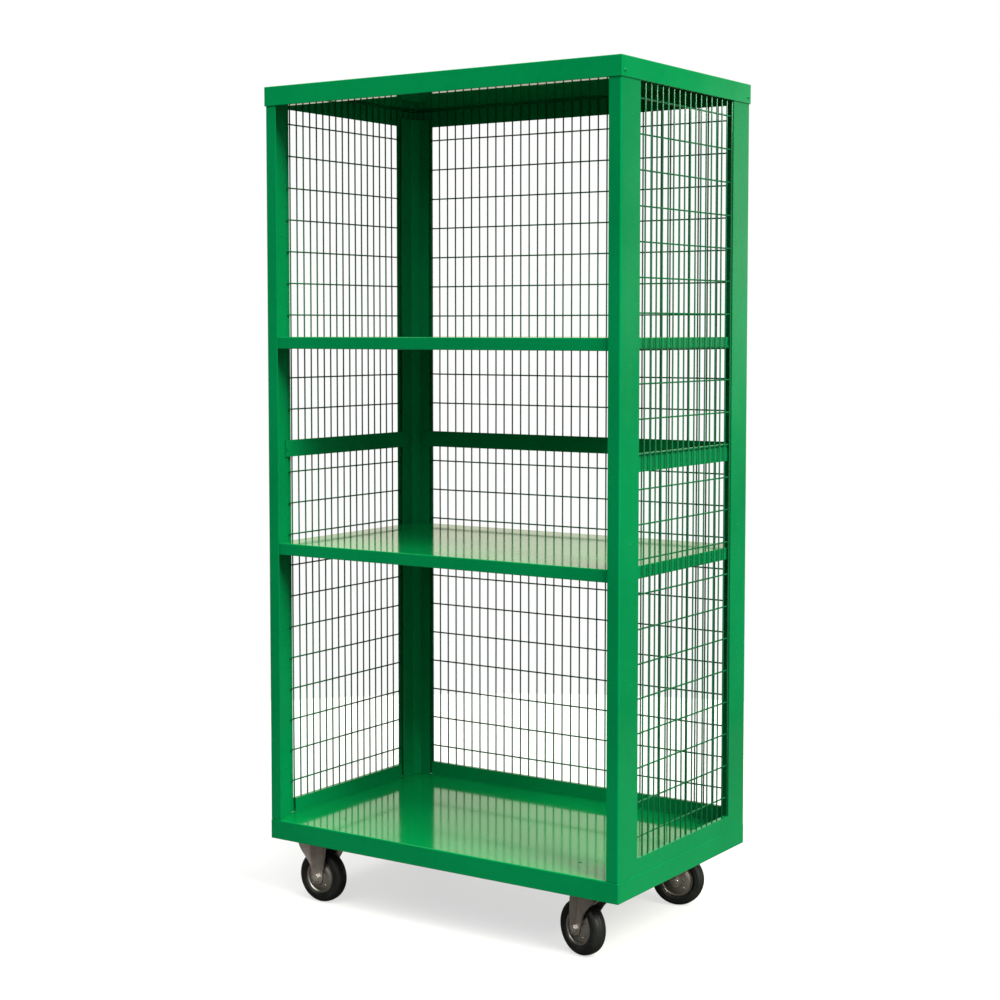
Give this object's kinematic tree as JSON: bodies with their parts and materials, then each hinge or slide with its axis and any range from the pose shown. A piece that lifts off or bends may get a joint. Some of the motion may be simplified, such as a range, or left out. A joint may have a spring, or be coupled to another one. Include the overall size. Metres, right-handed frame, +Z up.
{
  "type": "wire mesh shelf cart",
  "caption": "Tall mobile cage of folded sheet steel with welded wire mesh round its closed sides, an open front, fixed shelves, a flat top and rolling casters with rigid and swivel forks.",
  "frame": {"origin": "middle of the footprint on the floor, under the casters", "axes": "+X to the cart's right as seen from its open front, +Y towards the closed back, +Z up"},
  "size_m": [0.968, 0.594, 1.932],
  "materials": {
    "green_enamel": "gloss green stove enamel on sheet steel",
    "green_wire": "gloss green enamel on welded wire",
    "zinc_plate": "dull zinc-plated pressed steel",
    "bright_steel": "bright zinc-plated fasteners",
    "rubber": "satin black rubber"
  },
  "bodies": {
    "root": {"post_front_left": "green_enamel", "post_front_right": "green_enamel", "post_rear_left": "green_enamel", "post_rear_right": "green_enamel", "liner_front_left": "green_enamel", "liner_front_right": "green_enamel", "liner_rear_left": "green_enamel", "liner_rear_right": "green_enamel", "top_cover": "green_enamel", "base_tray": "green_enamel", "kick_rail_left": "green_enamel", "kick_rail_right": "green_enamel", "kick_rail_rear": "green_enamel", "caster_channel_left": "green_enamel", "caster_channel_right": "green_enamel", "lower_shelf": "green_enamel", "upper_shelf": "green_enamel", "mid_rail_left": "green_enamel", "mid_rail_right": "green_enamel", "mid_rail_rear": "green_enamel", "mesh_left": "green_wire", "mesh_right": "green_wire", "mesh_rear": "green_wire", "post_rivets": "green_enamel", "cover_screws": "green_enamel", "shelf_bolts": "green_enamel", "mid_rail_bolts": "green_enamel", "caster_bolts": "bright_steel", "caster_nuts": "bright_steel", "rigid_bracket_front": "zinc_plate", "rigid_bracket_rear": "zinc_plate", "rigid_axle_bolts": "bright_steel", "rigid_axle_nuts": "bright_steel", "rigid_axle_sleeves": "bright_steel", "swivel_plate_front": "zinc_plate", "swivel_plate_rear": "zinc_plate", "kingpin_front": "bright_steel", "kingpin_rear": "bright_steel"},
    "wheel_front_left": {"tyre_front_left": "rubber", "hub_front_left": "zinc_plate", "bearing_front_left": "bright_steel"},
    "wheel_rear_left": {"tyre_rear_left": "rubber", "hub_rear_left": "zinc_plate", "bearing_rear_left": "bright_steel"},
    "swivel_front": {"yoke_front": "zinc_plate", "race_balls_front": "bright_steel", "axle_bolt_front_right": "bright_steel", "axle_nut_front_right": "bright_steel", "axle_sleeve_front_right": "bright_steel"},
    "swivel_rear": {"yoke_rear": "zinc_plate", "race_balls_rear": "bright_steel", "axle_bolt_rear_right": "bright_steel", "axle_nut_rear_right": "bright_steel", "axle_sleeve_rear_right": "bright_steel"},
    "wheel_front_right": {"tyre_front_right": "rubber", "hub_front_right": "zinc_plate", "bearing_front_right": "bright_steel"},
    "wheel_rear_right": {"tyre_rear_right": "rubber", "hub_rear_right": "zinc_plate", "bearing_rear_right": "bright_steel"}
  },
  "joints": [
    {"name": "front_left_wheel_spin", "type": "hinge", "parent": "root", "child": "wheel_front_left", "pos_m": [-0.373, -0.229, 0.0625], "axis": [0, 1, 0], "continuous": true},
    {"name": "rear_left_wheel_spin", "type": "hinge", "parent": "root", "child": "wheel_rear_left", "pos_m": [-0.373, 0.229, 0.0625], "axis": [0, 1, 0], "continuous": true},
    {"name": "front_swivel_turn", "type": "hinge", "parent": "root", "child": "swivel_front", "pos_m": [0.383, -0.229, 0.14], "axis": [0, 0, 1], "continuous": true},
    {"name": "rear_swivel_turn", "type": "hinge", "parent": "root", "child": "swivel_rear", "pos_m": [0.383, 0.229, 0.14], "axis": [0, 0, 1], "continuous": true},
    {"name": "front_right_wheel_spin", "type": "hinge", "parent": "swivel_front", "child": "wheel_front_right", "pos_m": [0.34666, -0.21789, 0.0625], "axis": [0.2924, 0.9563, 0], "continuous": true},
    {"name": "rear_right_wheel_spin", "type": "hinge", "parent": "swivel_rear", "child": "wheel_rear_right", "pos_m": [0.34629, 0.21916, 0.0625], "axis": [-0.2588, 0.9659, 0], "continuous": true}
  ]
}
